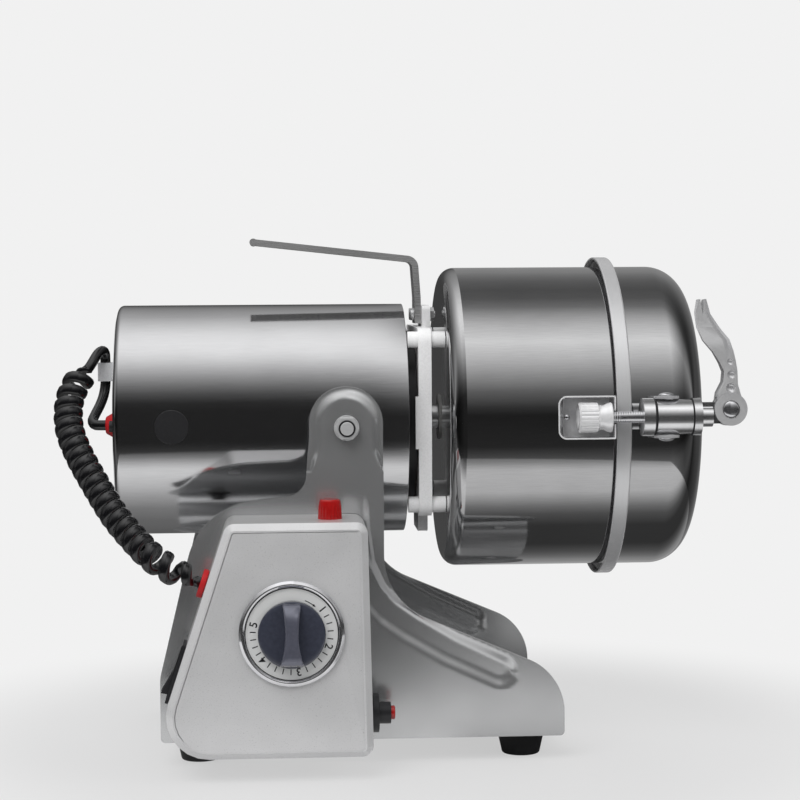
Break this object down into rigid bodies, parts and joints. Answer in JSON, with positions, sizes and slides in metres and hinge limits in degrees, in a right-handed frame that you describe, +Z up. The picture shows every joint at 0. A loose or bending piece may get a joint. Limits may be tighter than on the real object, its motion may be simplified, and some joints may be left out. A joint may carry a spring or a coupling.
{
  "type": "electric grain mill",
  "caption": "Electric grain mill: horizontal motor and grinding bowl that swing between two cheeks, lid with quick locks, timer box, carry handle and curly cord.",
  "frame": {"origin": "floor level, under the middle of the whole mill without its cord", "axes": "+X along the mill from the motor to the lid, +Y away from the control box, +Z up"},
  "size_m": [0.4337, 0.2998, 0.3329],
  "materials": {
    "stand_paint": "satin",
    "box_paint": "satin",
    "black_rubber": "matt",
    "zinc_steel": "satin",
    "motor_steel": "satin drawn",
    "chamber_steel": "smoky satin",
    "band_steel": "brushed",
    "cast_alloy": "as cast",
    "bright_chrome": "polished",
    "dial_silver": "fine satin",
    "knob_blue": "smoky translucent",
    "red_plastic": "gloss",
    "black_plastic": "satin",
    "white_nylon": "matt",
    "laminated_steel": "oiled",
    "enamelled_copper": "varnished",
    "carbon": "matt",
    "seal_rubber": "matt",
    "cord_black": "satin",
    "grey_plastic": "satin"
  },
  "bodies": {
    "stand": {"side_plate_near": "stand_paint", "side_plate_far": "stand_paint", "base_pan": "stand_paint", "feet": "black_rubber", "stand_screws": "zinc_steel", "trunnion_bushes": "white_nylon", "box_surround": "box_paint", "box_front_panel": "box_paint", "timer_bezel": "bright_chrome", "timer_dial": "dial_silver", "timer_works": "white_nylon", "indicator_cap": "red_plastic", "rocker_housing": "black_plastic", "breaker_body": "black_plastic", "box_grommet": "red_plastic", "mains_gland": "black_rubber", "curly_cord": "cord_black"},
    "mill": {"motor_shell": "motor_steel", "motor_rear_cover": "motor_steel", "rear_cover_screws": "zinc_steel", "brush_caps": "grey_plastic", "rear_bracket": "cast_alloy", "front_bracket": "black_plastic", "stator_core": "laminated_steel", "field_windings": "enamelled_copper", "motor_bearings": "zinc_steel", "brush_holders": "enamelled_copper", "carbon_brushes": "carbon", "trunnion_studs": "zinc_steel", "trunnion_nuts": "zinc_steel", "flange_casting": "cast_alloy", "bowl_bolts": "zinc_steel", "shaft_seal": "seal_rubber", "grinding_bowl": "chamber_steel", "lid_shell": "chamber_steel", "lid_band": "band_steel", "lid_gasket": "seal_rubber", "carry_handle": "zinc_steel", "handle_bolts": "zinc_steel", "lock_hoods": "bright_chrome", "lock_brackets": "bright_chrome", "cord_clip": "grey_plastic", "motor_grommet": "red_plastic", "cord_lead": "cord_black"},
    "rotor": {"rotor_shaft": "zinc_steel", "armature": "laminated_steel", "commutator": "enamelled_copper", "cooling_fan": "black_plastic", "blade_stack": "zinc_steel", "blade_nut": "zinc_steel"},
    "near_lock": {"near_lock_arm": "bright_chrome"},
    "near_nut": {"near_lock_nut": "bright_chrome"},
    "near_lever": {"near_lock_lever": "bright_chrome"},
    "far_lock": {"far_lock_arm": "bright_chrome"},
    "far_nut": {"far_lock_nut": "bright_chrome"},
    "far_lever": {"far_lock_lever": "bright_chrome"},
    "knob": {"timer_knob": "knob_blue", "timer_spindle": "zinc_steel"},
    "rocker": {"power_rocker": "black_plastic"},
    "reset": {"reset_button": "red_plastic"}
  },
  "joints": [
    {"name": "swing", "type": "hinge", "parent": "stand", "child": "mill", "pos_m": [-0.0442, 0.0182, 0.213], "axis": [0, -1, 0], "range_deg": [-30, 120], "deforming": ["curly_cord"]},
    {"name": "rotor_spin", "type": "hinge", "parent": "mill", "child": "rotor", "pos_m": [-0.0442, 0.0182, 0.213], "axis": [1, 0, 0], "continuous": true},
    {"name": "near_lock_swing", "type": "hinge", "parent": "mill", "child": "near_lock", "pos_m": [0.1538, -0.10164, 0.21928], "axis": [0, 0.0523, 0.9986], "range_deg": [0, 24]},
    {"name": "near_lever_turn", "type": "hinge", "parent": "near_lock", "child": "near_lever", "pos_m": [0.1933, -0.1014, 0.22367], "axis": [0, 0.9986, -0.0523], "range_deg": [0, 150]},
    {"name": "near_nut_turn", "type": "hinge", "parent": "near_lock", "child": "near_nut", "pos_m": [0.1078, -0.10164, 0.21928], "axis": [1, 0, 0], "continuous": true},
    {"name": "far_lock_swing", "type": "hinge", "parent": "mill", "child": "far_lock", "pos_m": [0.1538, 0.13804, 0.21928], "axis": [0, 0.0523, -0.9986], "range_deg": [0, 24]},
    {"name": "far_lever_turn", "type": "hinge", "parent": "far_lock", "child": "far_lever", "pos_m": [0.1933, 0.13781, 0.22367], "axis": [0, 0.9986, 0.0523], "range_deg": [0, 150]},
    {"name": "far_nut_turn", "type": "hinge", "parent": "far_lock", "child": "far_nut", "pos_m": [0.1078, 0.13804, 0.21928], "axis": [1, 0, 0], "continuous": true},
    {"name": "timer_turn", "type": "hinge", "parent": "stand", "child": "knob", "pos_m": [-0.0802, -0.1318, 0.0926], "axis": [0, 1, 0], "range_deg": [0, 290]},
    {"name": "power_rock", "type": "hinge", "parent": "stand", "child": "rocker", "pos_m": [-0.15044, -0.1063, 0.06563], "axis": [0, -1, 0], "range_deg": [0, 14]},
    {"name": "reset_push", "type": "slide", "parent": "stand", "child": "reset", "axis": [-1, 0, 0], "range_m": [0, 0.002], "stiffness_N_per_m": 600}
  ]
}
